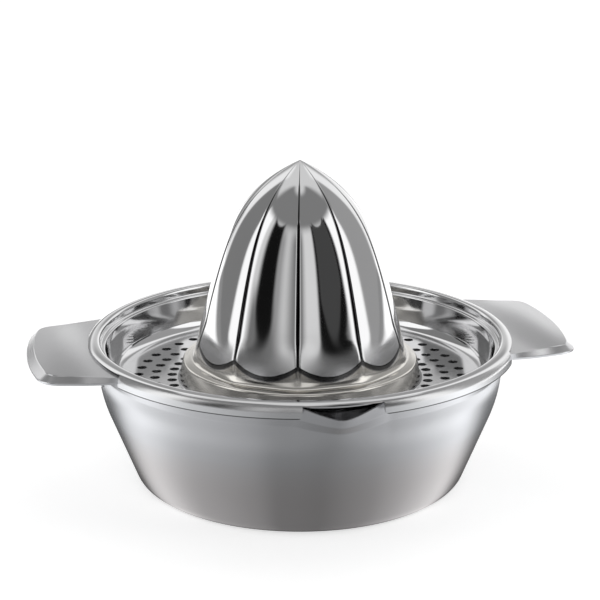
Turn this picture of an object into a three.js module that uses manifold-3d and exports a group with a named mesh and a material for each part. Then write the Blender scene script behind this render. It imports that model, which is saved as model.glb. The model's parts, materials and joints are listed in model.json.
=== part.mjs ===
// Two-handled citrus squeezer in pressed stainless steel: a juice bowl with a pour spout and two
// handles, and a perforated strainer that hangs in it by its rolled lip and carries a fluted reamer.
// Millimetres, +Z up, origin on the axis at the underside of the base. The spout points along -Y and
// the handles along X.
import * as THREE from 'three';
import { mergeGeometries, mergeVertices } from 'three/addons/utils/BufferGeometryUtils.js';
import Module from 'manifold-3d';

const wasm = await Module();
wasm.setup();

// Fits shared by all pieces
const seatGap = 0.3;
const cutOverrun = 5;
const mergeTolerance = 0.0005;

// Reamer: a hollow fluted cone, by its outer surface at the crowns of the flutes
const reamerSheet = 1;
const reamerRadius = 33.6;
const reamerHeight = 62.8;
const reamerSkirtDrop = 4.4;
const reamerTaperShare = 0.71;
const reamerTaperPower = 1.75;
const reamerNosePower = 6;
const fluteCount = 10;
const fluteTurn = -12;
const fluteFootShare = 0.03;
const fluteHeadShare = 0.05;
const fluteRunShare = 0.5;
const flutePower = 4;
const scallopRise = 4;
const scallopFade = 10;

// Strainer, by its upper surface, sized outwards from the foot of the reamer to the lip
const strainerSheet = 0.7;
const seatWidth = 2.4;
const collarFlare = 2;
const collarFootRise = 7.6;
const hubShoulder = 3.4;
const hubRise = 6.6;
const hubSlope = 1.4;
const hubFillet = 1;
const floorWidth = 22.2;
const dishDepth = 15.1;
const dishSlope = 2;
const dishFillet = 4;
const ledgeWidth = 1.6;
const ledgeDepth = 3.1;
const lipWidth = 3.8;
const lipFillet = 1.4;
const skirtFlare = 1.2;
const skirtDepth = 4.7;
const skirtCutDepth = 1;

// Rings of holes in the floor of the strainer
const holeRadius = 1.65;
const holesPerRing = 48;
const holeRingCount = 3;
const holeRingPitch = 5.63;
const holeRingInset = 8.5;
const holeTurn = 3.75;

// Gap in the skirt of the strainer over the spout
const spoutGapHalfAngle = 10.2;

// Bowl, by its outer surface, sized inwards from the lip of the strainer that rests on its rim
const bowlHeight = 48.5;
const bowlSheet = 0.7;
const lipOverhang = 2;
const bowlRimDepth = 4.2;
const bowlNeckDepth = 7.5;
const bowlNeckInset = 0.9;
const bowlShoulderDepth = 16;
const bowlWallInset = 1.1;
const bowlShoulderFillet = 45;
const bowlTaper = 14;
const bowlBaseFillet = 6;

// Pour spout, pressed outwards and down into the rim of the bowl
const spoutDirection = -90;
const spoutHalfAngle = 13;
const spoutDepth = 5;
const spoutReach = 2.2;
const spoutLength = 24;
const spoutPointShare = 0.16;

// Handles: pressed tabs with a bevelled, turned-down edge and a root flange against the bowl
const handleLength = 22.2;
const handleRootWidth = 61.6;
const handleTipWidth = 55.4;
const handleTipRadius = 105;
const handleCornerRadius = 8;
const handleCornerInset = 6.2;
const handleRootBevel = 0.6;
const handleTipBevel = 2.4;
const handleBevelDrop = 1.8;
const handleEdge = 2.5;
const handleSheet = 0.8;
const handleTopDepth = 1.5;
const flangeDepth = 7.5;
const flangeHalfAngle = 13;

// Facets
const bowlSegments = 64;
const segmentsPerFlute = 6;
const arcSteps = 6;
const holeSides = 8;
const facetSag = 0.12;
const reamerStations = 9;
const spoutCrowdShare = 0.5;

// Radii that follow from the sizes, from the reamer outwards
const collarFootRadius = reamerRadius + collarFlare;
const hubRadius = collarFootRadius + hubShoulder;
const hubFootRadius = hubRadius + hubSlope;
const dishRadius = hubFootRadius + floorWidth;
const ledgeRadius = dishRadius + dishSlope;
const lipInnerRadius = ledgeRadius + ledgeWidth;
const lipRadius = lipInnerRadius + lipWidth;
const skirtRadius = lipRadius + skirtFlare;
const bowlRimRadius = lipRadius - lipOverhang;
const handleReach = bowlRimRadius + handleLength;

// Levels above the table that follow from the sizes
const lipHeight = bowlHeight + seatGap + strainerSheet;
const floorHeight = lipHeight - dishDepth;
const reamerFoot = lipHeight - reamerSkirtDrop;
const handleTop = lipHeight - handleTopDepth;
const handleRoot = bowlRimRadius + seatGap;

const radians = THREE.MathUtils.degToRad;

// The longest part of a straight run that a fillet at its end may take up: half of it, or all of it
// where the corner at its other end is sharp
function roomFor(corners, from, to) {
  const [radius, height] = corners[from];
  const [otherRadius, otherHeight, otherFillet = 0] = corners[to];
  const run = Math.hypot(otherRadius - radius, otherHeight - height);
  return otherFillet > 0 ? run / 2 : run;
}

// A chain of straight runs through [radius, height, fillet] corners, with the fillets drawn as arcs
function roundedPath(corners) {
  const places = corners.map(([radius, height]) => new THREE.Vector2(radius, height));
  return corners.flatMap(([, , wanted = 0], index) => {
    const corner = places[index];
    if (wanted === 0) return [corner];
    const back = places[index - 1].clone().sub(corner).normalize();
    const ahead = places[index + 1].clone().sub(corner).normalize();
    const halfAngle = Math.acos(back.dot(ahead)) / 2;
    const room = Math.min(roomFor(corners, index, index - 1), roomFor(corners, index, index + 1));
    const fillet = Math.min(wanted, room * Math.tan(halfAngle));
    const centre = back.clone().add(ahead).normalize();
    centre.multiplyScalar(fillet / Math.sin(halfAngle)).add(corner);
    const start = back.clone().multiplyScalar(fillet / Math.tan(halfAngle)).add(corner);
    const turn = Math.sign(ahead.cross(back)) * (Math.PI - 2 * halfAngle);
    const facetTurn = 2 * Math.acos(1 - facetSag / Math.max(fillet, facetSag));
    const steps = Math.max(1, Math.round(Math.abs(turn) / facetTurn));
    return Array.from({ length: steps + 1 }, (_, step) =>
      start.clone().rotateAround(centre, (turn * step) / steps));
  });
}

// The same chain moved sideways by a distance, to the left of its direction where that is positive
function offsetPath(path, distance) {
  return path.map((point, index) => {
    const ahead = path[Math.min(index + 1, path.length - 1)].clone().sub(point);
    const behind = point.clone().sub(path[Math.max(index - 1, 0)]);
    if (index === 0) behind.copy(ahead);
    if (index === path.length - 1) ahead.copy(behind);
    const normalBefore = new THREE.Vector2(-behind.y, behind.x).normalize();
    const normalAfter = new THREE.Vector2(-ahead.y, ahead.x).normalize();
    const mitre = normalBefore.clone().add(normalAfter).normalize();
    return mitre.multiplyScalar(distance / mitre.dot(normalBefore)).add(point);
  });
}

// A sheet of metal turned about the Z axis; angle 0 lies along -Y and grows towards +X
function revolve(outline, segments) {
  return new THREE.LatheGeometry(outline, segments).rotateX(Math.PI / 2);
}

// Moves each point of a turned sheet, given by its radius, angle and height
function reshape(geometry, move) {
  const position = geometry.getAttribute('position');
  for (let index = 0; index < position.count; index += 1) {
    const x = position.getX(index);
    const y = position.getY(index);
    const moved = move(Math.hypot(x, y), Math.atan2(x, -y), position.getZ(index));
    position.setXYZ(
      index,
      moved.radius * Math.sin(moved.angle),
      -moved.radius * Math.cos(moved.angle),
      moved.height,
    );
  }
  return geometry;
}

// A closed body whose points are shared between its triangles
function toSolid(geometry) {
  const bare = geometry.clone();
  bare.deleteAttribute('normal');
  bare.deleteAttribute('uv');
  const merged = mergeVertices(bare, mergeTolerance);
  const corners = merged.getIndex().array;
  const kept = [];
  for (let start = 0; start < corners.length; start += 3) {
    const [a, b, c] = corners.slice(start, start + 3);
    if (a !== b && b !== c && c !== a) kept.push(a, b, c);
  }
  return new wasm.Manifold(new wasm.Mesh({
    numProp: 3,
    vertProperties: new Float32Array(merged.getAttribute('position').array),
    triVerts: new Uint32Array(kept),
  }));
}

function toGeometry(solid) {
  const mesh = solid.getMesh();
  const geometry = new THREE.BufferGeometry();
  geometry.setAttribute('position', new THREE.BufferAttribute(mesh.vertProperties, 3));
  geometry.setIndex(new THREE.BufferAttribute(mesh.triVerts, 1));
  geometry.computeVertexNormals();
  return geometry;
}

// A wall that follows an arc about the Z axis, centred on a direction, from one level to another
function arcBlock(innerRadius, outerRadius, direction, halfAngle, low, high) {
  const start = radians(direction - halfAngle);
  const end = radians(direction + halfAngle);
  const shape = new THREE.Shape();
  shape.absarc(0, 0, outerRadius, start, end, false);
  shape.absarc(0, 0, innerRadius, end, start, true);
  shape.closePath();
  const block = new THREE.ExtrudeGeometry(shape, {
    depth: high - low,
    bevelEnabled: false,
    curveSegments: arcSteps,
  });
  return toSolid(block.translate(0, 0, low));
}

// How deep the spout's V is at an angle from its middle, from 1 at the point to 0 at its ends
function spoutShare(angle) {
  const along = Math.min(Math.abs(angle) / radians(spoutHalfAngle), 1);
  const slope = Math.hypot(along, spoutPointShare) - spoutPointShare;
  return 1 - slope / (Math.hypot(1, spoutPointShare) - spoutPointShare);
}

function makeBowl() {
  const outside = roundedPath([
    [0, 0],
    [bowlRimRadius - bowlTaper, 0, bowlBaseFillet],
    [bowlRimRadius - bowlWallInset, bowlHeight - bowlShoulderDepth, bowlShoulderFillet],
    [bowlRimRadius - bowlNeckInset, bowlHeight - bowlNeckDepth],
    [bowlRimRadius, bowlHeight - bowlRimDepth],
    [bowlRimRadius, bowlHeight],
  ]);
  const inside = offsetPath(outside, bowlSheet);
  const sheet = revolve([...outside, ...inside.reverse()], bowlSegments);
  const pressed = reshape(sheet, (radius, angle, height) => {
    const crowded = angle - spoutCrowdShare * Math.sin(angle);
    const rise = Math.max(0, 1 - (bowlHeight - height) / spoutLength);
    const press = spoutShare(crowded) * rise ** 2;
    return {
      radius: radius + spoutReach * press,
      angle: crowded,
      height: height - spoutDepth * press,
    };
  });
  return toGeometry(toSolid(pressed));
}

// Radius of the reamer at a level, as a share of the way up from its foot to its tip. The wall stands
// nearly upright at the foot, leans in more and more above it, and closes in a rounded nose.
function reamerRadiusAt(share) {
  const lean = reamerTaperShare * share ** reamerTaperPower;
  const nose = (1 - reamerTaperShare) * share ** reamerNosePower;
  return reamerRadius * (1 - lean - nose);
}

// Place across a flute, from 0 on its crown to 1 in the valley beside it
function acrossFlute(angle) {
  const pitch = (2 * Math.PI) / fluteCount;
  const turned = (angle - radians(fluteTurn)) / pitch;
  return Math.abs(turned - Math.floor(turned) - 1 / 2) * 2;
}

function makeReamer() {
  const outside = Array.from({ length: reamerStations + 1 }, (_, station) => {
    const share = 1 - (1 - station / reamerStations) ** (3 / 2);
    return new THREE.Vector2(reamerRadiusAt(share), reamerFoot + reamerHeight * share);
  });
  const inside = offsetPath(outside, reamerSheet);
  inside.at(-1).set(0, reamerFoot + reamerHeight - 2 * reamerSheet);
  const cone = revolve([...inside.reverse(), ...outside], fluteCount * segmentsPerFlute);
  const fluted = reshape(cone.rotateZ(radians(fluteTurn)), (radius, angle, height) => {
    const across = acrossFlute(angle);
    const share = (height - reamerFoot) / reamerHeight;
    const run = Math.min(share / fluteRunShare, 1);
    const valley = THREE.MathUtils.lerp(fluteFootShare, fluteHeadShare, run);
    const lift = Math.max(0, 1 - (height - reamerFoot) / scallopFade);
    return {
      radius: radius * (1 - valley * across ** flutePower),
      angle,
      height: height + scallopRise * lift * across ** 2,
    };
  });
  return toGeometry(toSolid(fluted));
}

function makeStrainer() {
  const collarFoot = floorHeight + collarFootRise;
  const collarTop = reamerFoot - seatGap;
  const upper = roundedPath([
    [skirtRadius, lipHeight - skirtDepth],
    [lipRadius, lipHeight, lipFillet],
    [lipInnerRadius, lipHeight, lipFillet],
    [lipInnerRadius, lipHeight - ledgeDepth],
    [ledgeRadius, lipHeight - ledgeDepth],
    [dishRadius, floorHeight, dishFillet],
    [hubFootRadius, floorHeight, hubFillet],
    [hubRadius, floorHeight + hubRise, hubFillet],
    [collarFootRadius, collarFoot],
    [reamerRadius, collarTop],
    [reamerRadius - seatWidth, collarTop],
  ]);
  const lower = offsetPath(upper, strainerSheet);
  const outline = [...upper, ...lower.reverse(), upper[0]];
  const turned = revolve(outline, fluteCount * segmentsPerFlute).rotateZ(radians(fluteTurn));
  // the collar takes on the scalloped edge and the flutes of the reamer that stands on it
  const drawn = reshape(turned, (radius, angle, height) => {
    const rise = Math.min(Math.max((height - collarFoot) / (collarTop - collarFoot), 0), 1);
    const share = radius < (collarFootRadius + hubRadius) / 2 ? rise : 0;
    const across = acrossFlute(angle);
    return {
      radius: radius * (1 - fluteFootShare * share * across ** flutePower),
      angle,
      height: height + scallopRise * share * across ** 2,
    };
  });
  return toGeometry(toSolid(drawn).subtract(makeHoles()).subtract(makeSkirtGaps()));
}

function makeHoles() {
  const bars = [];
  for (let ring = 0; ring < holeRingCount; ring += 1) {
    const ringRadius = dishRadius - holeRingInset - ring * holeRingPitch;
    for (let hole = 0; hole < holesPerRing; hole += 1) {
      const pitch = 360 / holesPerRing;
      const turn = holeTurn + (hole + (ring % 2) / 2) * pitch;
      const bar = new THREE.CylinderGeometry(holeRadius, holeRadius, 2 * cutOverrun, holeSides);
      bar.rotateX(Math.PI / 2);
      bar.translate(0, -ringRadius, floorHeight);
      bars.push(bar.rotateZ(radians(turn)));
    }
  }
  return toSolid(mergeGeometries(bars));
}

function makeSkirtGaps() {
  const low = lipHeight - skirtDepth - cutOverrun;
  const high = lipHeight - skirtCutDepth;
  const inner = lipRadius - strainerSheet - seatGap;
  const plan = handlePlan({ root: inner, grow: seatGap });
  const handleGap = loft([atLevel(plan, low), atLevel(plan, high)]);
  return arcBlock(inner, skirtRadius + cutOverrun, spoutDirection, spoutGapHalfAngle, low, high)
    .add(toSolid(handleGap))
    .add(toSolid(handleGap.clone().rotateZ(Math.PI)));
}

// Plan of a handle that points along +X, whose sides are drawn in by an inset at its root and at its tip
function handlePlan({ root, rootInset = 0, tipInset = 0, grow = 0 }) {
  const rootHalf = handleRootWidth / 2 - rootInset + grow;
  const tipHalf = handleTipWidth / 2 - tipInset + grow;
  const tipRadius = handleTipRadius - tipInset + grow;
  const cornerRadius = handleCornerRadius - tipInset + grow;
  const tipCentre = new THREE.Vector2(handleReach - handleTipRadius, 0);
  const side = new THREE.Vector2(bowlRimRadius, rootHalf);
  const tipStation = new THREE.Vector2(handleReach - handleCornerInset, tipHalf);
  const edge = tipStation.sub(side).normalize();
  const normal = new THREE.Vector2(-edge.y, edge.x);
  // the side starts on the root circle and ends at the rounded corner, which runs into the tip
  const start = alongToCircle(side, edge, new THREE.Vector2(), root);
  const cornerSide = side.clone().addScaledVector(normal, -cornerRadius);
  const corner = alongToCircle(cornerSide, edge, tipCentre, tipRadius - cornerRadius);
  const otherCorner = new THREE.Vector2(corner.x, -corner.y);
  const tipAngle = corner.clone().sub(tipCentre).angle();
  const sideAngle = normal.angle();
  return [
    ...arcPoints(tipCentre, tipRadius, -tipAngle, tipAngle),
    ...arcPoints(corner, cornerRadius, tipAngle, sideAngle).slice(1),
    ...arcPoints(new THREE.Vector2(), root, start.angle(), -start.angle()),
    ...arcPoints(otherCorner, cornerRadius, -sideAngle, -tipAngle).slice(0, -1),
  ];
}

function arcPoints(centre, radius, start, end) {
  return Array.from({ length: arcSteps + 1 }, (_, step) => {
    const angle = start + ((end - start) * step) / arcSteps;
    return new THREE.Vector2(Math.cos(angle), Math.sin(angle)).multiplyScalar(radius).add(centre);
  });
}

// Where a line leaves a circle, or comes nearest to its centre if it passes by
function alongToCircle(point, direction, centre, radius) {
  const offset = point.clone().sub(centre);
  const along = offset.dot(direction);
  const halfChordSquared = Math.max(along ** 2 - offset.lengthSq() + radius ** 2, 0);
  return point.clone().addScaledVector(direction, Math.sqrt(halfChordSquared) - along);
}

function atLevel(plan, height) {
  return plan.map((point) => new THREE.Vector3(point.x, point.y, height));
}

// A closed skin over outlines of as many points each, from the lowest to the highest
function loft(rings) {
  const count = rings[0].length;
  const index = [];
  for (let ring = 0; ring + 1 < rings.length; ring += 1) {
    for (let place = 0; place < count; place += 1) {
      const low = ring * count + place;
      const lowNext = ring * count + (place + 1) % count;
      index.push(low, lowNext, lowNext + count, low, lowNext + count, low + count);
    }
  }
  const top = (rings.length - 1) * count;
  for (const [a, b, c] of THREE.ShapeUtils.triangulateShape(rings.at(-1), [])) {
    index.push(top + a, top + b, top + c);
  }
  for (const [a, b, c] of THREE.ShapeUtils.triangulateShape(rings[0], [])) {
    index.push(c, b, a);
  }
  const geometry = new THREE.BufferGeometry().setFromPoints(rings.flat());
  return geometry.setIndex(index);
}

function makeHandle(direction) {
  const low = handleTop - handleEdge;
  const crease = { rootInset: handleRootBevel, tipInset: handleTipBevel };
  const rim = handlePlan({ root: handleRoot });
  const tab = loft([
    atLevel(rim, low),
    atLevel(rim, handleTop - handleBevelDrop),
    atLevel(handlePlan({ root: handleRoot, ...crease }), handleTop),
  ]);
  const pocketRoot = handleRoot - cutOverrun;
  const pocketRim = handlePlan({ root: pocketRoot, grow: -handleSheet });
  const pocketCrease = handlePlan({ root: pocketRoot, ...crease, grow: -handleSheet });
  const pocket = loft([
    atLevel(pocketRim, low - cutOverrun),
    atLevel(pocketRim, handleTop - handleBevelDrop - handleSheet / 2),
    atLevel(pocketCrease, handleTop - handleSheet),
  ]);
  const flangeTop = handleTop - handleSheet / 2;
  const flangeLow = handleTop - handleSheet - flangeDepth;
  const flangeFace = handleRoot + handleSheet;
  const flange = arcBlock(handleRoot, flangeFace, 0, flangeHalfAngle, flangeLow, flangeTop);
  const geometry = toGeometry(toSolid(tab).subtract(toSolid(pocket)).add(flange));
  return geometry.rotateZ(radians(direction));
}

const satinSteel = { color: 0xb9babc, roughness: 0.34, metalness: 1 };
const polishedSteel = { color: 0xd2d2d2, roughness: 0.08, metalness: 1 };

function piece(name, geometry, look) {
  const mesh = new THREE.Mesh(geometry, new THREE.MeshStandardMaterial(look));
  mesh.name = name;
  return mesh;
}

const squeezer = new THREE.Group();
squeezer.add(piece('bowl', makeBowl(), satinSteel));
squeezer.add(piece('left_handle', makeHandle(180), satinSteel));
squeezer.add(piece('right_handle', makeHandle(0), satinSteel));

const insert = new THREE.Group();
insert.add(piece('strainer', makeStrainer(), polishedSteel));
insert.add(piece('reamer', makeReamer(), polishedSteel));
squeezer.add(insert);

export default squeezer;
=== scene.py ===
"""Looks of the two-handled citrus squeezer: a satin steel bowl with two handles, and a polished
strainer with a fluted reamer. Sizes are in millimetres, and become metres where a mesh is made."""
import json
import math

import bpy
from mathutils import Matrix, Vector

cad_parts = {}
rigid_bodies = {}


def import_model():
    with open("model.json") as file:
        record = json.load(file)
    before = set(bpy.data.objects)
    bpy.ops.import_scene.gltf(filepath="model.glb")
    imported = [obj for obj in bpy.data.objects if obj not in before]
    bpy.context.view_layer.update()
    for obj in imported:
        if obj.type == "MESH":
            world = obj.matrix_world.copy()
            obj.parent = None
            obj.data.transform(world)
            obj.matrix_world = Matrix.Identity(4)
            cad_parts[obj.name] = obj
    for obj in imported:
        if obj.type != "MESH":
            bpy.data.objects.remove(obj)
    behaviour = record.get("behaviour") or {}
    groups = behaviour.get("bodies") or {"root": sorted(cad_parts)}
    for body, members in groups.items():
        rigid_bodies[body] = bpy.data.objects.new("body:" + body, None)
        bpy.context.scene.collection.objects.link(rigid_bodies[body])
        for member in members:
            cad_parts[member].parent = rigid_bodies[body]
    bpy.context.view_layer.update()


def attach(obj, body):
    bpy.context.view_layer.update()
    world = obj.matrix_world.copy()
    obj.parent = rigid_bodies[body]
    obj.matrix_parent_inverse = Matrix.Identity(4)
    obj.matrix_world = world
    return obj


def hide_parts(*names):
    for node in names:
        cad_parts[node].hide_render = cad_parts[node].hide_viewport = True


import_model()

MM = 0.001
TURN = 2 * math.pi
ORIGIN = (0, 0, 0)
UP = (0, 0, 1)

# Camera, fitted to the photograph: its turn from the spout, its rise over the lip, and its dip
CAMERA_AZIMUTH = math.radians(-10.8)
CAMERA_RISE = math.radians(17.66)
CAMERA_DIP = math.radians(16.65)
CAMERA_DISTANCE = 599.2
CAMERA_LENS = 108
CAMERA_SENSOR = 36

# Fineness of the meshes
ARC_STEP = math.radians(7)
ARC_CHORD = 1.6
BOWL_SEGMENTS = 360
REAMER_STATIONS = 50
REAMER_STEPS = 56
COLLAR_STEPS = 40
SIDE_STEPS = 12
CORNER_STEPS = 12
TIP_STEPS = 18
TOP_CUTS = 14
MERGE_DISTANCE = 0.004
SHARP_ANGLE = math.radians(24)
CUT_EDGE_ANGLE = math.radians(55)

# Levels above the table and fits
BOWL_HEIGHT = 48.5
SEAT_GAP = 0.3
STRAINER_SHEET = 0.7
LIP = BOWL_HEIGHT + SEAT_GAP + STRAINER_SHEET
BOWL_SHEET = 0.7

# Bowl and its pour spout
BOWL_RIM = 68
SPOUT_HALF_ANGLE = 13
SPOUT_DEPTH = 5
SPOUT_REACH = 2.2
SPOUT_LENGTH = 24
SPOUT_POINT = 0.16
UPPER_WALL = 40
# outer profile from the middle of the base: radius, height and fillet of each corner
BOWL_PROFILE = [
    (0, 0),
    (BOWL_RIM - 14, 0, 6),
    (BOWL_RIM - 1.1, BOWL_HEIGHT - 16, 44.6),
    (BOWL_RIM - 0.9, BOWL_HEIGHT - 7.5, 3),
    (BOWL_RIM, BOWL_HEIGHT - 4.2, 2),
    (BOWL_RIM, BOWL_HEIGHT),
]

# Strainer, its lip with the skirt, and the openings of the skirt
FLOOR = LIP - 15.1
SKIRT_EDGE = LIP - 4.7
SKIRT_INNER = 69.3
SKIRT_CUT = 0.8
SKIRT_CORNER = 1.5
SPOUT_GAP = 10.2
HANDLE_GAP = math.degrees(math.asin(31.15 / 70.6))
LIP_CREST = 67.75
RING_RADIUS = 54.1
RING_PITCH = 5.63
RING_COUNT = 3
HOLES_PER_RING = 48
HOLE_TURN = 3.75
HOLE_RADIUS = 1.65
CELL_SIDE = 4
FLOOR_INNER = 41.05
LIP_PROFILE = [
    (71.2, SKIRT_EDGE),
    (70.85, LIP, 3.2),
    (66.2, LIP, 1.2),
    (66.2, LIP - 3.1, 0.5),
    (64.6, LIP - 3.1, 0.5),
    (62.6, FLOOR, 4),
    (RING_RADIUS + RING_PITCH / 2, FLOOR),
]

# Reamer
REAMER_RADIUS = 34.6
REAMER_HEIGHT = 62.8
REAMER_FOOT = LIP - 4.4
REAMER_SHEET = 1
REAMER_TAPER = 0.5
REAMER_TAPER_POWER = 1.12
REAMER_NOSE_POWER = 6
FLUTES = 10
FLUTE_TURN = -12
FLUTE_FOOT = 0.02
FLUTE_HEAD = 0.026
FLUTE_RUN = 0.3
FLUTE_POWER = 40
SCALLOP_RISE = 4
SCALLOP_FADE = 10
COLLAR_FOOT = FLOOR + 7.2
COLLAR_TOP = REAMER_FOOT - SEAT_GAP
# height of the band of painted shade under the reamer's scalloped foot
SEAM_SHADE_DEPTH = 1.7
# the hub rises from the floor and slopes up gently to the collar that the reamer stands on
HUB_FOOT = (40.4, FLOOR, 0.8)
HUB_EDGE = (39, FLOOR + 6.6)
HUB_SLOPE = 1 / 3.4
HUB_SEAM = (37.2, 37.4)
COLLAR_BEND = (35, COLLAR_FOOT + 0.1, 2.1)
COLLAR_SEAT = 2.4

# Handles
HANDLE_TOP = LIP - 1.5
HANDLE_ROOT = BOWL_RIM + SEAT_GAP
HANDLE_REACH = 90.2
HANDLE_TIP_RADIUS = 105
HANDLE_CORNER = 8
HANDLE_SHEET = 0.8
HANDLE_EDGE = 2.5
HANDLE_BEVEL_DROP = 1.8
HANDLE_ROOT_HALF = 30.8
HANDLE_TIP_HALF = 27.7
HANDLE_CORNER_INSET = 6.2
HANDLE_ROOT_BEVEL = 0.6
HANDLE_TIP_BEVEL = 2.4
HANDLE_EDGE_FADE = 75
HANDLE_EDGE_LOSS = 0.36
HANDLE_CROWN = 1.1
HANDLE_CORNER_X = 60
FLANGE_HALF_ANGLE = math.radians(13)
FLANGE_DEPTH = 7.5


# Camera
def aim_camera():
    """The photograph's view, from a little left of the spout and above the lip."""
    data = bpy.data.cameras.new("camera")
    data.sensor_width = CAMERA_SENSOR
    data.lens = CAMERA_LENS
    data.clip_start = 0.01
    data.clip_end = 20
    camera = bpy.data.objects.new("camera", data)
    bpy.context.scene.collection.objects.link(camera)
    outwards = Vector((math.sin(CAMERA_AZIMUTH), -math.cos(CAMERA_AZIMUTH), 0))
    towards = outwards * math.cos(CAMERA_RISE) + Vector(UP) * math.sin(CAMERA_RISE)
    camera.location = CAMERA_DISTANCE * MM * towards
    camera.location.z += LIP * MM
    aim = -outwards * math.cos(CAMERA_DIP) - Vector(UP) * math.sin(CAMERA_DIP)
    camera.rotation_euler = aim.to_track_quat("-Z", "Y").to_euler()
    bpy.context.scene.camera = camera


# Modelling steps
def rounded(corners, step=ARC_STEP):
    """A chain of places through (radius, height, fillet) corners, each fillet drawn as an arc."""
    places = [Vector((radius, height)) for radius, height, *_ in corners]
    chain = []
    for index, corner in enumerate(corners):
        place = places[index]
        fillet = corner[2] if len(corner) > 2 else 0
        if not fillet:
            chain.append(place)
            continue
        back = (places[index - 1] - place).normalized()
        ahead = (places[index + 1] - place).normalized()
        half = back.angle(ahead) / 2
        centre = place + (back + ahead).normalized() * fillet / math.sin(half)
        start = place + back * fillet / math.tan(half) - centre
        side = ahead.x * back.y - ahead.y * back.x
        turn = math.copysign(math.pi - 2 * half, side)
        steps = max(2, round(abs(turn) / step), round(abs(turn) * fillet / ARC_CHORD))
        for number in range(steps + 1):
            angle = turn * number / steps
            chain.append(centre + Vector((
                start.x * math.cos(angle) - start.y * math.sin(angle),
                start.x * math.sin(angle) + start.y * math.cos(angle),
            )))
    return chain


def begin(name):
    """A new piece in edit mode, its mesh one loose vertex at the origin."""
    bpy.ops.object.select_all(action="DESELECT")
    bpy.ops.mesh.primitive_plane_add(size=MM, location=ORIGIN)
    piece = bpy.context.active_object
    piece.name = name
    piece.data.name = name
    bpy.ops.object.mode_set(mode="EDIT")
    bpy.ops.mesh.select_mode(type="VERT")
    bpy.ops.mesh.select_all(action="SELECT")
    bpy.ops.mesh.merge(type="CENTER")
    return piece


def begin_again():
    """One more loose vertex at the origin, in the mesh that is being edited."""
    bpy.ops.mesh.select_mode(type="VERT")
    bpy.ops.mesh.select_all(action="DESELECT")
    bpy.ops.mesh.primitive_plane_add(size=MM, location=ORIGIN)
    bpy.ops.mesh.merge(type="CENTER")


def draw(places):
    """Moves the loose vertex to the first place and extrudes it through the others; millimetres."""
    spots = [Vector(place) * MM for place in places]
    bpy.ops.transform.translate(value=spots[0])
    for here, there in zip(spots, spots[1:]):
        bpy.ops.mesh.extrude_region_move(TRANSFORM_OT_translate={"value": there - here})


def at_angle(chain, degrees):
    """A chain of (radius, height) stood in the plane at an angle from the spout."""
    angle = math.radians(degrees)
    return [(p.x * math.sin(angle), -p.x * math.cos(angle), p.y) for p in chain]


def spin(steps, angle=TURN, centre=ORIGIN, merge=False):
    """Turns what is selected round the upright axis into a sheet."""
    bpy.ops.mesh.spin(steps=steps, angle=angle, center=centre, axis=UP, use_auto_merge=merge)


def pick(piece, test, kind="faces", since=0):
    """Selects the faces, edges or vertices whose middle, in millimetres, passes a test."""
    bpy.ops.object.mode_set(mode="OBJECT")
    mesh = piece.data
    points = mesh.vertices
    for group in (points, mesh.edges, mesh.polygons):
        group.foreach_set("select", [False] * len(group))
    if kind == "faces":
        for face in mesh.polygons:
            face.select = test(face.center / MM)
    elif kind == "edges":
        for edge in mesh.edges:
            ends = [points[number] for number in edge.vertices]
            if test((ends[0].co + ends[1].co) / 2 / MM):
                edge.select = ends[0].select = ends[1].select = True
    else:
        for point in points[since:]:
            point.select = test(point.co / MM)
    bpy.context.tool_settings.mesh_select_mode = [
        kind == each for each in ("vertices", "edges", "faces")
    ]
    bpy.ops.object.mode_set(mode="EDIT")


def close_seams():
    """Joins the vertices that lie on one another."""
    bpy.ops.mesh.select_mode(type="VERT")
    bpy.ops.mesh.select_all(action="SELECT")
    bpy.ops.mesh.remove_doubles(threshold=MERGE_DISTANCE * MM)


def face_outwards(piece, test, direction):
    """Turns the sheet so that the face picked by a test looks along a direction."""
    bpy.ops.mesh.select_all(action="SELECT")
    bpy.ops.mesh.normals_make_consistent(inside=False)
    bpy.ops.object.mode_set(mode="OBJECT")
    face = next(f for f in piece.data.polygons if test(f.center / MM))
    wrong = face.normal.dot(direction(face.center)) < 0
    bpy.ops.object.mode_set(mode="EDIT")
    if wrong:
        bpy.ops.mesh.select_all(action="SELECT")
        bpy.ops.mesh.flip_normals()


def weigh(piece, name, weight):
    """A vertex group whose weights follow the places of the vertices, in millimetres."""
    group = piece.vertex_groups.new(name=name)
    for point in piece.data.vertices:
        value = weight(point.co / MM)
        if value > 0:
            group.add([point.index], value, "REPLACE")


def take(piece):
    """Makes a piece the one selected and active object."""
    bpy.ops.object.select_all(action="DESELECT")
    piece.select_set(True)
    bpy.context.view_layer.objects.active = piece


def apply_modifier(piece, kind, **settings):
    take(piece)
    modifier = piece.modifiers.new(kind.lower(), kind)
    for name, value in settings.items():
        setattr(modifier, name, value)
    bpy.ops.object.modifier_apply(modifier=modifier.name)


def draw_in(piece, group, share):
    """Draws a group of vertices towards the upright axis by a share of their radius."""
    apply_modifier(
        piece, "CAST", cast_type="CYLINDER", use_radius_as_size=False, size=1e-5, radius=0,
        factor=share, vertex_group=group, use_z=False,
    )


def lift(piece, group, height):
    """Raises a group of vertices by a height."""
    apply_modifier(
        piece, "DISPLACE", direction="Z", mid_level=0, strength=height * MM, vertex_group=group,
    )


def thicken(piece, sheet, edge=0.12):
    """Gives a sheet its thickness on its inner side, and rounds its cut edges."""
    apply_modifier(
        piece, "SOLIDIFY", thickness=sheet * MM, offset=-1, use_even_offset=True,
        use_quality_normals=True,
    )
    apply_modifier(
        piece, "BEVEL", width=edge * MM, segments=2, limit_method="ANGLE",
        angle_limit=CUT_EDGE_ANGLE, harden_normals=False, use_clamp_overlap=True,
    )


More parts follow.
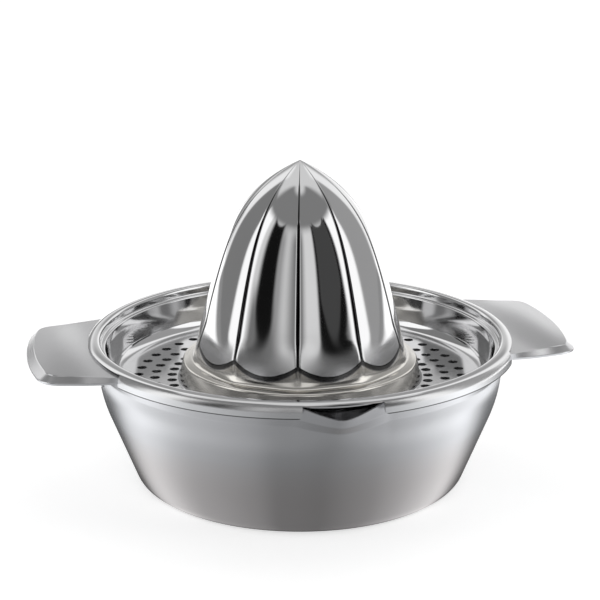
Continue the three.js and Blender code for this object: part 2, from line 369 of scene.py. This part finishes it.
def smooth(piece):
    """Smooth shading with sharp edges kept, and normals that follow the large faces."""
    take(piece)
    bpy.ops.object.shade_smooth_by_angle(angle=SHARP_ANGLE)
    apply_modifier(piece, "WEIGHTED_NORMAL", keep_sharp=True, weight=50)


def azimuth_of(place):
    """Angle of a place from the spout, growing towards +X."""
    return math.atan2(place.x, -place.y)


def turn_between(one, other):
    """Angle from one direction to another, at most half a turn either way."""
    return (one - other + math.pi) % TURN - math.pi


# Bowl
def spout_share(angle):
    """Depth of the spout's V at an angle from its middle, 1 at the point and 0 at its ends."""
    along = min(abs(angle) / math.radians(SPOUT_HALF_ANGLE), 1)
    slope = math.hypot(along, SPOUT_POINT) - SPOUT_POINT
    return 1 - slope / (math.hypot(1, SPOUT_POINT) - SPOUT_POINT)


def spout_press(place):
    """How far the spout moves a place of the wall, 1 at the point of the rim."""
    rise = max(0, 1 - (BOWL_HEIGHT - place.z) / SPOUT_LENGTH)
    return spout_share(azimuth_of(place)) * rise ** 2


def make_bowl():
    piece = begin("juice_bowl")
    chain = rounded(BOWL_PROFILE)
    rim = [Vector((BOWL_RIM, BOWL_HEIGHT - drop)) for drop in (3, 2, 1)]
    draw(at_angle(chain[:-1] + rim + chain[-1:], 180))
    bpy.ops.mesh.select_all(action="SELECT")
    spin(BOWL_SEGMENTS, merge=True)
    close_seams()
    face_outwards(piece, lambda p: p.z > UPPER_WALL, lambda c: Vector((c.x, c.y, 0)))
    bpy.ops.object.mode_set(mode="OBJECT")
    weigh(piece, "spout", spout_press)
    draw_in(piece, "spout", -SPOUT_REACH / BOWL_RIM)
    lift(piece, "spout", -SPOUT_DEPTH)
    thicken(piece, BOWL_SHEET, edge=0.2)
    smooth(piece)
    return piece


# Strainer
def across_flute(angle):
    """Place across a flute, 0 on its crown and 1 in the valley beside it."""
    turned = (angle - math.radians(FLUTE_TURN)) / (TURN / FLUTES)
    return abs(turned - math.floor(turned) - 0.5) * 2


def hub_level(radius):
    """Height of the hub's sloping top, from its edge in to the collar."""
    return HUB_EDGE[1] + (HUB_EDGE[0] - radius) * HUB_SLOPE


def make_strainer():
    piece = begin("strainer_dish")
    segments = HOLES_PER_RING * CELL_SIDE
    draw(at_angle(rounded(LIP_PROFILE), 0))
    bpy.ops.mesh.select_all(action="SELECT")
    spin(segments, merge=True)

    begin_again()
    inner, outer = HUB_SEAM
    draw(at_angle(rounded([
        (FLOOR_INNER, FLOOR), HUB_FOOT, (*HUB_EDGE, 1), (outer, hub_level(outer)),
    ]), 0))
    bpy.ops.mesh.select_linked()
    spin(segments, merge=True)

    begin_again()
    draw(at_angle(rounded([
        (inner, hub_level(inner)),
        COLLAR_BEND,
        (REAMER_RADIUS, COLLAR_TOP),
        (REAMER_RADIUS - COLLAR_SEAT, COLLAR_TOP),
    ]), 0))
    bpy.ops.mesh.select_linked()
    spin(FLUTES * COLLAR_STEPS, merge=True)

    def at_seam(place):
        return inner - 0.2 < place.to_2d().length < outer + 0.02 and place.z > FLOOR + 6

    pick(piece, at_seam, "edges")
    bpy.ops.mesh.bridge_edge_loops()

    pitch = 360 / HOLES_PER_RING
    for ring in range(RING_COUNT):
        add_hole_ring(piece, ring, pitch)
    close_seams()
    cut_skirt(piece)
    face_outwards(piece, lambda p: p.z < FLOOR + 0.01, lambda c: Vector(UP))
    bpy.ops.object.mode_set(mode="OBJECT")

    def collar(power):
        def weight(place):
            if place.to_2d().length > (inner + outer) / 2:
                return 0
            rise = min(max((place.z - COLLAR_FOOT) / (COLLAR_TOP - COLLAR_FOOT), 0), 1)
            return across_flute(azimuth_of(place)) ** power * rise
        return weight

    weigh(piece, "collar_flutes", collar(FLUTE_POWER))
    weigh(piece, "collar_edge", collar(2))
    draw_in(piece, "collar_flutes", FLUTE_FOOT)
    lift(piece, "collar_edge", SCALLOP_RISE)
    thicken(piece, STRAINER_SHEET)
    smooth(piece)
    return piece


def add_hole_ring(piece, ring, pitch):
    """A ring of cells in the floor, each a square of faces with a round hole in it."""
    radius = RING_RADIUS - ring * RING_PITCH
    outer = radius + RING_PITCH / 2
    inner = radius - RING_PITCH / 2 if ring + 1 < RING_COUNT else FLOOR_INNER
    middle = HOLE_TURN + (ring % 2) / 2 * pitch
    piece.update_from_editmode()
    known = len(piece.data.vertices)
    begin_again()
    stations = [outer + (inner - outer) * step / CELL_SIDE for step in range(CELL_SIDE + 1)]
    draw(at_angle([Vector((r, FLOOR)) for r in stations], middle - pitch / 2))
    bpy.ops.mesh.select_linked()
    spin(CELL_SIDE, -math.radians(pitch))
    edge = math.radians(pitch / 2) * 0.99

    def inside(place):
        turn = abs(azimuth_of(place) - math.radians(middle))
        return turn < edge and inner + 0.01 < place.to_2d().length < outer - 0.01

    pick(piece, inside, "vertices", known)
    bpy.ops.mesh.delete(type="VERT")
    angle = math.radians(middle)
    bpy.ops.mesh.primitive_circle_add(
        vertices=4 * CELL_SIDE, radius=HOLE_RADIUS * MM, rotation=(0, 0, angle + math.pi / 4),
        location=(radius * math.sin(angle) * MM, -radius * math.cos(angle) * MM, FLOOR * MM),
    )
    pick(piece, lambda place: True, "vertices", known)
    bpy.ops.mesh.bridge_edge_loops()
    pick(piece, lambda place: True, "vertices", known)
    bpy.ops.mesh.spin(
        steps=HOLES_PER_RING - 1, dupli=True, angle=TURN * (1 - 1 / HOLES_PER_RING),
        center=ORIGIN, axis=UP, use_auto_merge=False,
    )


def cut_skirt(piece):
    """Opens the skirt over the spout and over both handles, and rounds the corners it leaves."""
    gaps = [(0, SPOUT_GAP), (90, HANDLE_GAP), (-90, HANDLE_GAP)]
    sides = [math.radians(middle + side * width) for middle, width in gaps for side in (-1, 1)]

    def outside(place):
        return place.to_2d().length > SKIRT_INNER

    def in_skirt(place):
        return outside(place) and place.z < LIP - SKIRT_CUT

    def within(place, angle, reach):
        return abs(turn_between(azimuth_of(place), angle)) < reach

    pick(piece, lambda p: outside(p) and p.z < LIP - 0.3)
    bpy.ops.mesh.bisect(plane_co=(0, 0, (LIP - SKIRT_CUT) * MM), plane_no=UP)
    for side in sides:
        pick(piece, lambda p: p.to_2d().length > LIP_CREST and within(p, side, 0.06))
        bpy.ops.mesh.bisect(plane_co=ORIGIN, plane_no=(math.cos(side), math.sin(side), 0))
    for middle, width in gaps:
        centre = math.radians(middle)
        reach = math.radians(width)
        pick(piece, lambda p: in_skirt(p) and within(p, centre, reach))
        bpy.ops.mesh.delete(type="FACE")

    def at_corner(place):
        low = in_skirt(place) and place.z < SKIRT_EDGE + 0.1
        return low and any(within(place, side, 0.002) for side in sides)

    pick(piece, at_corner, "vertices")
    bpy.ops.mesh.bevel(offset=SKIRT_CORNER * MM, segments=4, affect="VERTICES", profile=0.5)


# Reamer
def reamer_radius(share):
    """A cone that leans in a little more with its height and closes in a rounded nose."""
    lean = REAMER_TAPER * share ** REAMER_TAPER_POWER
    nose = (1 - REAMER_TAPER) * share ** REAMER_NOSE_POWER
    return REAMER_RADIUS * (1 - lean - nose)


def make_reamer():
    piece = begin("fluted_reamer")
    shares = [1 - (1 - step / REAMER_STATIONS) ** 1.5 for step in range(REAMER_STATIONS + 1)]
    chain = [Vector((reamer_radius(s), REAMER_FOOT + REAMER_HEIGHT * s)) for s in shares]
    draw(at_angle(chain, FLUTE_TURN))
    bpy.ops.mesh.select_all(action="SELECT")
    spin(FLUTES * REAMER_STEPS, merge=True)
    close_seams()
    face_outwards(piece, lambda p: p.z < REAMER_FOOT + 5, lambda c: Vector((c.x, c.y, 0)))
    bpy.ops.object.mode_set(mode="OBJECT")

    def valley(place):
        share = (place.z - REAMER_FOOT) / REAMER_HEIGHT
        run = min(share / FLUTE_RUN, 1)
        depth = FLUTE_FOOT + (FLUTE_HEAD - FLUTE_FOOT) * run
        return depth / FLUTE_HEAD * across_flute(azimuth_of(place)) ** FLUTE_POWER

    def scallop(place):
        fade = max(0, 1 - (place.z - REAMER_FOOT) / SCALLOP_FADE)
        return fade * across_flute(azimuth_of(place)) ** 2

    weigh(piece, "valley", valley)
    weigh(piece, "scallop", scallop)
    draw_in(piece, "valley", FLUTE_HEAD)
    lift(piece, "scallop", SCALLOP_RISE)
    thicken(piece, REAMER_SHEET, edge=0.3)
    smooth(piece)
    return piece


# Handles
def leave_circle(point, direction, centre, radius):
    """Where a line that starts inside a circle leaves it."""
    offset = point - centre
    along = offset.dot(direction)
    reach = math.sqrt(along ** 2 - offset.length_squared + radius ** 2)
    return point + direction * (reach - along)


def arc(centre, radius, start, end, steps):
    angles = [start + (end - start) * step / steps for step in range(steps + 1)]
    return [centre + radius * Vector((math.cos(a), math.sin(a))) for a in angles]


def handle_side(root_inset, tip_inset):
    """One half of the outline of a handle that points along +X, from its root to its tip."""
    tip_radius = HANDLE_TIP_RADIUS - tip_inset
    corner_radius = HANDLE_CORNER - tip_inset
    tip_centre = Vector((HANDLE_REACH - HANDLE_TIP_RADIUS, 0))
    side = Vector((BOWL_RIM, HANDLE_ROOT_HALF - root_inset))
    tip = Vector((HANDLE_REACH - HANDLE_CORNER_INSET, HANDLE_TIP_HALF - tip_inset))
    along = (tip - side).normalized()
    out = Vector((-along.y, along.x))
    start = leave_circle(side, along, Vector((0, 0)), HANDLE_ROOT)
    corner = leave_circle(side - out * corner_radius, along, tip_centre, tip_radius - corner_radius)
    tip_angle = math.atan2(corner.y, corner.x - tip_centre.x)
    bend = arc(corner, corner_radius, math.atan2(out.y, out.x), tip_angle, CORNER_STEPS)
    straight = [start.lerp(bend[0], step / SIDE_STEPS) for step in range(SIDE_STEPS)]
    return straight + bend + arc(tip_centre, tip_radius, tip_angle, 0, TIP_STEPS)[1:]


def handle_outline(insets, height):
    """The whole outline at a height, from one side of the root round the tip to the other."""
    half = handle_side(*insets)
    other = [Vector((p.x, -p.y)) for p in reversed(half[:-1])]
    return [(p.x, p.y, height(p.x)) for p in half + other]


def handle_level(drop):
    """A height below the top of a handle; the drop grows smaller towards the root."""
    def height(x):
        near = min(max((HANDLE_EDGE_FADE - x) / (HANDLE_EDGE_FADE - HANDLE_CORNER_X), 0), 1)
        return HANDLE_TOP - drop * (1 - HANDLE_EDGE_LOSS * near ** 2)
    return height


def make_handle():
    piece = begin("handle_right")
    # outlines one above the other, from the cut edge over the slanted rim to the flat top
    section = rounded([
        (0, -HANDLE_EDGE), (0, -HANDLE_BEVEL_DROP, 0.35), (HANDLE_TIP_BEVEL, 0, 0.5),
        (2 * HANDLE_TIP_BEVEL, 0),
    ], step=math.radians(10))[:-1]
    count = 0
    for number, place in enumerate(section):
        insets = (place.x * HANDLE_ROOT_BEVEL / HANDLE_TIP_BEVEL, place.x)
        outline = handle_outline(insets, handle_level(-place.y))
        if number:
            begin_again()
        draw(outline)
        if number:
            pick(piece, lambda p: True, "vertices", count - len(outline))
            bpy.ops.mesh.bridge_edge_loops()
        count += len(outline)
    # the top runs back to the bowl, and the middle of its root is turned down into a flange
    angles = [math.atan2(y, x) for x, y, _ in outline]
    root = [(HANDLE_ROOT * math.cos(a), HANDLE_ROOT * math.sin(a), HANDLE_TOP) for a in angles]
    begin_again()
    draw(root)
    pick(piece, lambda p: True, "vertices", count - len(outline))
    bpy.ops.mesh.bridge_edge_loops(number_cuts=TOP_CUTS, interpolation="LINEAR")
    close_seams()
    face_outwards(piece, lambda p: abs(p.y) < 5 and 72 < p.x < 80, lambda c: Vector(UP))

    def on_root(place):
        inner = place.to_2d().length < HANDLE_ROOT + 0.01 and place.z > HANDLE_TOP - 0.01
        return inner and abs(math.atan2(place.y, place.x)) < FLANGE_HALF_ANGLE

    pick(piece, on_root, "edges")
    bpy.ops.mesh.extrude_region_move(
        TRANSFORM_OT_translate={"value": (0, 0, -(FLANGE_DEPTH + HANDLE_SHEET) * MM)})
    bpy.ops.object.mode_set(mode="OBJECT")

    def crown(place):
        if place.z < HANDLE_TOP - 0.01:
            return 0
        along = (place.x - HANDLE_ROOT) / (HANDLE_REACH - HANDLE_ROOT)
        across = max(0, 1 - (place.y / HANDLE_TIP_HALF) ** 2)
        return across * max(0, 4 * along * (1 - along)) ** 2

    weigh(piece, "crown", crown)
    lift(piece, "crown", HANDLE_CROWN)
    thicken(piece, HANDLE_SHEET, edge=0.25)
    smooth(piece)
    return piece


def turn_copy(piece, name):
    """A copy with its own mesh, turned half way round the axis."""
    take(piece)
    bpy.ops.object.duplicate()
    copy = bpy.context.active_object
    copy.name = name
    copy.data.name = name
    bpy.ops.transform.rotate(value=math.pi, orient_axis="Z", center_override=ORIGIN)
    bpy.ops.object.transform_apply(location=True, rotation=True, scale=True)
    return copy


# Shader maths
class Wire:
    """A node's output socket. Arithmetic on it adds Math nodes, and node() adds any other node."""

    def __init__(self, tree, socket=None):
        self.tree = tree
        self.socket = socket

    def node(self, kind, settings=None, sockets=None, output=0):
        made = self.tree.nodes.new(kind)
        for name, value in (settings or {}).items():
            if name == "stops":
                set_stops(made.color_ramp, value)
            else:
                setattr(made, name, value)
        for name, value in (sockets or {}).items():
            if isinstance(value, Wire):
                self.tree.links.new(value.socket, made.inputs[name])
            else:
                made.inputs[name].default_value = value
        return Wire(self.tree, made.outputs[output] if made.outputs else None)

    def calculate(self, operation, *others):
        sockets = {number: value for number, value in enumerate((self, *others))}
        return self.node("ShaderNodeMath", {"operation": operation}, sockets)

    def reflected(self, operation, other):
        return self.node("ShaderNodeMath", {"operation": operation}, {0: other, 1: self})

    def __add__(self, other):
        return self.calculate("ADD", other)

    def __mul__(self, other):
        return self.calculate("MULTIPLY", other)

    def __sub__(self, other):
        return self.calculate("SUBTRACT", other)

    def __truediv__(self, other):
        return self.calculate("DIVIDE", other)

    def __rsub__(self, other):
        return self.reflected("SUBTRACT", other)

    def __rtruediv__(self, other):
        return self.reflected("DIVIDE", other)

    __radd__ = __add__
    __rmul__ = __mul__

    def step(self, low, high):
        """0 below low and 1 above high, or the other way round, with a soft run between."""
        return self.node(
            "ShaderNodeMapRange", {"interpolation_type": "SMOOTHSTEP"},
            {"Value": self, "From Min": low, "From Max": high},
        )

    def split(self):
        return [self.node("ShaderNodeSeparateXYZ", None, {0: self}, axis) for axis in range(3)]


def set_stops(ramp, stops):
    while len(ramp.elements) < len(stops):
        ramp.elements.new(1)
    for element, (place, level) in zip(ramp.elements, stops):
        element.position = place
        element.color = grey(level)


def grey(level):
    return (level, level, level, 1)


def mix(tree, share, one, other, blend="MIX"):
    return tree.node("ShaderNodeMix", {"data_type": "RGBA", "blend_type": blend}, {
        0: share, 6: one, 7: other,
    }, 2)


def band(value, sides, softness):
    """1 between both sides and 0 outside them."""
    low, high = sides
    half = softness / 2
    return value.step(low - half, low + half) * value.step(high + half, high - half)


def across_axis(x, y):
    """Distance from the upright axis."""
    return (x * x + y * y).calculate("SQRT")


def round_axis(x, y):
    """Angle from the spout, growing towards +X."""
    return x.calculate("ARCTAN2", 0 - y)


def blank_material(name):
    material = bpy.data.materials.new(name)
    material.use_nodes = True
    material.node_tree.nodes.clear()
    return material, Wire(material.node_tree)


def metal(name, build):
    """A steel whose Principled sockets come from a function of the place on the object, in mm."""
    material, tree = blank_material(name)
    place = tree.node("ShaderNodeTexCoord", None, None, "Object")
    place = tree.node("ShaderNodeVectorMath", {"operation": "SCALE"}, {0: place, "Scale": 1 / MM})
    sockets = {"Metallic": 1.0, **build(tree, place)}
    shader = tree.node("ShaderNodeBsdfPrincipled", None, sockets)
    tree.node("ShaderNodeOutputMaterial", None, {0: shader})
    return material


def round_lines(tree, place, across, along):
    """Fine lines round the axis: noise that runs long round it and is short across it."""
    x, y, z = place.split()
    spread = tree.node("ShaderNodeCombineXYZ", None, {
        0: round_axis(x, y) * along, 1: across_axis(x, y) * across, 2: z * across,
    })
    return tree.node("ShaderNodeTexNoise", None, {
        "Vector": spread, "Scale": 1.0, "Detail": 3.0, "Roughness": 0.6,
    })


def clouds(tree, place, scale, detail):
    return tree.node("ShaderNodeTexNoise", None, {
        "Vector": place, "Scale": scale, "Detail": detail,
    })


SATIN_TONES = (0.60, 0.60, 0.61, 1), (0.66, 0.66, 0.67, 1)
POLISHED_TONES = (0.66, 0.66, 0.665, 1), (0.71, 0.71, 0.715, 1)
# painted reflection: a warm tint on the hub and collar, standing in for the lobes mirrored in them
COLLAR_REFLECTION_TONE = (0.70, 0.68, 0.64, 1)
# painted shade: a near-black tone for the skirt's lower edge, standing in for the shadow line under
# the skirt
SKIRT_EDGE_SHADE_TONE = grey(0.05)
# painted shade: a near-black tone for the seam under the reamer and for its valleys
PAINTED_SHADE_TONE = grey(0.03)


def satin(tree, place):
    """Bowl and handles: fine lines round the axis and faint clouds."""
    lines = round_lines(tree, place, 3.0, 6.0)
    cloud = clouds(tree, place, 0.05, 3.0)
    bump = tree.node("ShaderNodeBump", None, {
        "Height": lines, "Strength": 0.05, "Distance": 0.05 * MM,
    })
    return {
        "Base Color": mix(tree, cloud, *SATIN_TONES),
        "Roughness": 0.2 + lines * 0.06 + cloud * 0.04,
        "Normal": bump,
    }


def polished(tree, place):
    """Strainer and reamer: a duller floor, skirt, collar and foot; painted shade along the skirt's
    lower edge, in the seam under the reamer and in its valleys; and a warm painted reflection on
    the hub and collar.
    """
    x, y, z = place.split()
    radius = across_axis(x, y)
    cloud = clouds(tree, place, 0.06, 4.0)
    fine = clouds(tree, place, 2.0, 2.0)
    rim = radius.step(69.6, 70.0)
    skirt = rim * z.step(LIP - 0.7, LIP - 1.1)
    # painted shade: the lowest part of the skirt is darkened for the shadow line between skirt and
    # bowl
    skirt_edge_shade = rim * z.step(SKIRT_EDGE + 0.36, SKIRT_EDGE + 0.26)
    floor = z.step(FLOOR + 0.6, FLOOR + 0.2) * radius.step(62, 60)
    # place across a flute, and height above the scalloped foot of the reamer
    turned = (round_axis(x, y) - math.radians(FLUTE_TURN)) * (FLUTES / TURN)
    across = (turned.calculate("FRACT") - 0.5).calculate("ABSOLUTE") * 2
    level = z - across * across * SCALLOP_RISE
    inside = radius.step(37, 36)
    # painted shade: a dark band in the seam just under the reamer's scalloped foot
    seam_shade = level.step(COLLAR_TOP - SEAM_SHADE_DEPTH, COLLAR_TOP - SEAM_SHADE_DEPTH * 0.6)
    seam_shade = seam_shade * level.step(COLLAR_TOP + 0.25, COLLAR_TOP + 0.1) * inside
    cone = level.step(COLLAR_TOP + 0.3, COLLAR_TOP + 0.5) * inside
    # painted shade: dark lines along the valleys between the reamer's flutes
    crease_shade = across.step(0.94, 0.965) * cone
    foot = level.step(COLLAR_TOP + 9, COLLAR_TOP + 3) * cone
    # the hub and collar: a warm painted reflection of the lobes above, and more roughness
    collar = radius.step(40.5, 39.8) * level.step(COLLAR_TOP - 1.2, COLLAR_TOP - 1.8)
    tone = mix(tree, collar, mix(tree, cloud, *POLISHED_TONES), COLLAR_REFLECTION_TONE)
    tone = mix(tree, skirt_edge_shade * 0.85, tone, SKIRT_EDGE_SHADE_TONE)
    shine = 0.045 + cloud * 0.02 + fine * 0.01
    return {
        # the painted shade of the seam and of the valleys darkens the colour
        "Base Color": mix(tree, seam_shade * 0.85 + crease_shade * 0.9, tone, PAINTED_SHADE_TONE),
        "Roughness": shine + skirt * 0.2 + floor * 0.10 + seam_shade * 0.1 + foot * 0.16 + collar * 0.12,
    }


# Studio
# What the metal sees, as panels: the sides of each in degrees from the camera, their heights in
# degrees, the softness of both edges, the brightness, and how far the lower edge bulges downwards.
# A later panel lies in front of an earlier one.
ROOM = 0.85
PANELS = [
    # pale wall behind the object, with a darker part above the level of the camera
    ((129, 231), (-5, 62), (8, 8), 1.15),
    ((150, 210), (17, 62), (12, 12), 0.42),
    ((188, 222), (-4, 12), (8, 6), 0.35),
    # side walls in grey, each with a white strip beside it
    ((-130, -89), (-3, 56), (6, 4), 0.26),
    ((88, 130), (-3, 56), (6, 4), 0.42),
    ((-90, -68), (-5, 66), (5, 4), 1.4),
    ((61, 87), (-5, 66), (5, 4), 1.4),
    # dim ceiling over the camera
    ((-100, 100), (48, 82), (20, 8), 0.27),
    # the dim room below and beside the camera
    ((-64, 61), (-8, 12), (8, 6), 0.22),
    # pale board over the camera, darker in its middle
    ((-32, 25), (-4, 46), (8, 24), 0.28),
    ((-27, -14), (8, 46), (14, 8), 0.74),
    ((5, 25), (8, 46), (10, 8), 0.9),
    # black cloth at both sides of the camera, and a grey board in the right one
    ((-59, -33), (7, 46), (8, 3), 0.008, 4),
    ((23.5, 61), (5.4, 46), (4, 2), 0.008, 4),
    ((27, 57), (8.3, 46), (3, 1.5), 0.075, 6),
]


def panorama(tree, place):
    """The painted room in the direction that a ray leaves in."""
    x, y, z = place.split()
    turn = turn_from_camera(x, y) * (360 / TURN)
    back = turn.calculate("WRAP", 270.0, -90.0)
    rise = z.calculate("ARCSINE") * (360 / TURN)
    colour = grey(ROOM)
    for sides, heights, softness, level, *bulge in PANELS:
        around = back if sides[1] > 180 else turn
        height = rise
        if bulge:
            off = (around - (sides[0] + sides[1]) / 2) / ((sides[1] - sides[0]) / 2)
            height = rise - off * off * bulge[0]
        share = band(around, sides, softness[0]) * band(height, heights, softness[1])
        colour = mix(tree, share, colour, grey(level))
    return colour


def turn_from_camera(x, y):
    """Angle round the axis in radians, 0 towards the camera and growing to its right."""
    front = Vector((math.sin(CAMERA_AZIMUTH), -math.cos(CAMERA_AZIMUTH)))
    return (x * -front.y + y * front.x).calculate("ARCTAN2", x * front.x + y * front.y)


def turns(*stops):
    """Ramp stops from (degrees from the camera, brightness)."""
    return [(degrees / 360 + 0.5, level) for degrees, level in stops]


FLOOR_GLOW = 1.6
FLOOR_SIZE = 12
FLOOR_DROP = 0.0002
FLOOR_LIFT = 0.66
# brightness of the floor as the metal sees it, by degrees from the camera
FLOOR_ROOM = turns(
    (-180, 0.05), (-93, 0.08), (-86, 0.26), (-82, 0.44), (-78, 0.58), (-73, 0.7), (-66, 0.76),
    (-58, 0.66), (-50, 0.51), (-42, 0.41), (-28, 0.33), (-16, 0.26), (-9, 0.19), (8, 0.17),
    (18, 0.22), (28, 0.27), (42, 0.43), (58, 0.68), (68, 0.82), (74, 0.72), (78, 0.53),
    (82, 0.4), (86, 0.22), (93, 0.11), (180, 0.05),
)


def floor_colour(tree, place):
    """What the metal mirrors of the floor, by the turn from the camera and by the distance."""
    x, y, _ = place.split()
    radius = across_axis(x, y) / MM
    turn = turn_from_camera(x, y) / TURN
    # close to the bowl the bright sides lie nearer to the camera, and they lie further round where
    # the upper wall of the bowl mirrors the floor
    spread = 0.82 + 3 / (radius - 50).calculate("MAXIMUM", 5)
    spread = spread - radius.step(118, 136) * radius.step(180, 160) * 0.2
    shade = tree.node("ShaderNodeValToRGB", {"stops": FLOOR_ROOM}, {0: turn * spread + 0.5})
    tint = mix(tree, radius.step(84, 66), (0.965, 0.98, 1, 1), (1, 0.97, 0.96, 1))
    tinted = mix(tree, 1.0, shade, tint, "MULTIPLY")
    # far behind the object the floor is pale, and grey at the foot of the side walls
    away = turn.calculate("ABSOLUTE") * 360
    behind = radius.step(225, 285) * away.step(85, 100) * away.step(173, 163)
    walls = radius.step(900, 1700) * band(away, (88, 131), 5)
    colour = mix(tree, behind, tinted, mix(tree, walls, grey(0.8), grey(0.17)))
    # the bowl's own shade on the floor, darkest at its foot
    reach = 0.12 + 0.7 * radius.step(51.8, 53.2) + 0.18 * radius.step(66, 84)
    reach = reach + 0.27 * radius.step(86, 112)
    return tree.node("ShaderNodeVectorMath", {"operation": "SCALE"}, {
        0: colour, "Scale": reach * FLOOR_GLOW,
    })


def light_studio():
    """The painted room for reflections and light, and white for the camera."""
    world = bpy.data.worlds.new("studio")
    bpy.context.scene.world = world
    world.use_nodes = True
    world.node_tree.nodes.clear()
    tree = Wire(world.node_tree)
    place = tree.node("ShaderNodeTexCoord", None, None, "Generated")
    seen = tree.node("ShaderNodeLightPath", None, None, "Is Camera Ray")
    room = tree.node("ShaderNodeBackground", None, {0: panorama(tree, place), 1: 1.0})
    white = tree.node("ShaderNodeBackground", None, {0: grey(1), 1: 1.0})
    both = tree.node("ShaderNodeMixShader", None, {0: seen, 1: room, 2: white})
    tree.node("ShaderNodeOutputWorld", None, {0: both})


def lay_floor():
    """A pale floor, lifted to white for the camera, that keeps the shadow of the object."""
    bpy.ops.object.select_all(action="DESELECT")
    bpy.ops.mesh.primitive_plane_add(size=FLOOR_SIZE, location=(0, 0, -FLOOR_DROP))
    floor = bpy.context.active_object
    floor.name = "floor"
    material, tree = blank_material("pale_floor")
    place = tree.node("ShaderNodeTexCoord", None, None, "Object")
    seen = tree.node("ShaderNodeLightPath", None, None, "Is Camera Ray")
    glossy = tree.node("ShaderNodeLightPath", None, None, "Is Glossy Ray")
    plain = tree.node("ShaderNodeBsdfDiffuse", None, {"Color": grey(0.8)})
    lift_white = tree.node("ShaderNodeEmission", None, {"Color": grey(1), "Strength": FLOOR_LIFT})
    shown = tree.node("ShaderNodeAddShader", None, {0: plain, 1: lift_white})
    mirrored = tree.node("ShaderNodeEmission", None, {"Color": floor_colour(tree, place)})
    unlit = tree.node("ShaderNodeMixShader", None, {0: seen, 1: plain, 2: shown})
    both = tree.node("ShaderNodeMixShader", None, {0: glossy, 1: unlit, 2: mirrored})
    tree.node("ShaderNodeOutputMaterial", None, {0: both})
    floor.data.materials.append(material)


def finish_piece(piece, material, body, slot, *nodes):
    """Gives a piece its material and its body, and hides the nodes that it stands for; the slot is
    not used.
    """
    piece.data.materials.clear()
    piece.data.materials.append(material)
    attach(piece, body)
    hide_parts(*nodes)


bpy.context.scene.view_settings.view_transform = "Standard"
aim_camera()
light_studio()
lay_floor()
satin_steel = metal("satin_steel", satin)
polished_steel = metal("polished_steel", polished)
bowl = make_bowl()
strainer = make_strainer()
reamer = make_reamer()
right = make_handle()
left = turn_copy(right, "handle_left")
finish_piece(bowl, satin_steel, "bowl_body", "satin_steel", "bowl")
finish_piece(right, satin_steel, "bowl_body", "satin_steel", "right_handle")
finish_piece(left, satin_steel, "bowl_body", "satin_steel", "left_handle")
finish_piece(strainer, polished_steel, "insert", "polished_steel", "strainer")
finish_piece(reamer, polished_steel, "insert", "polished_steel", "reamer")
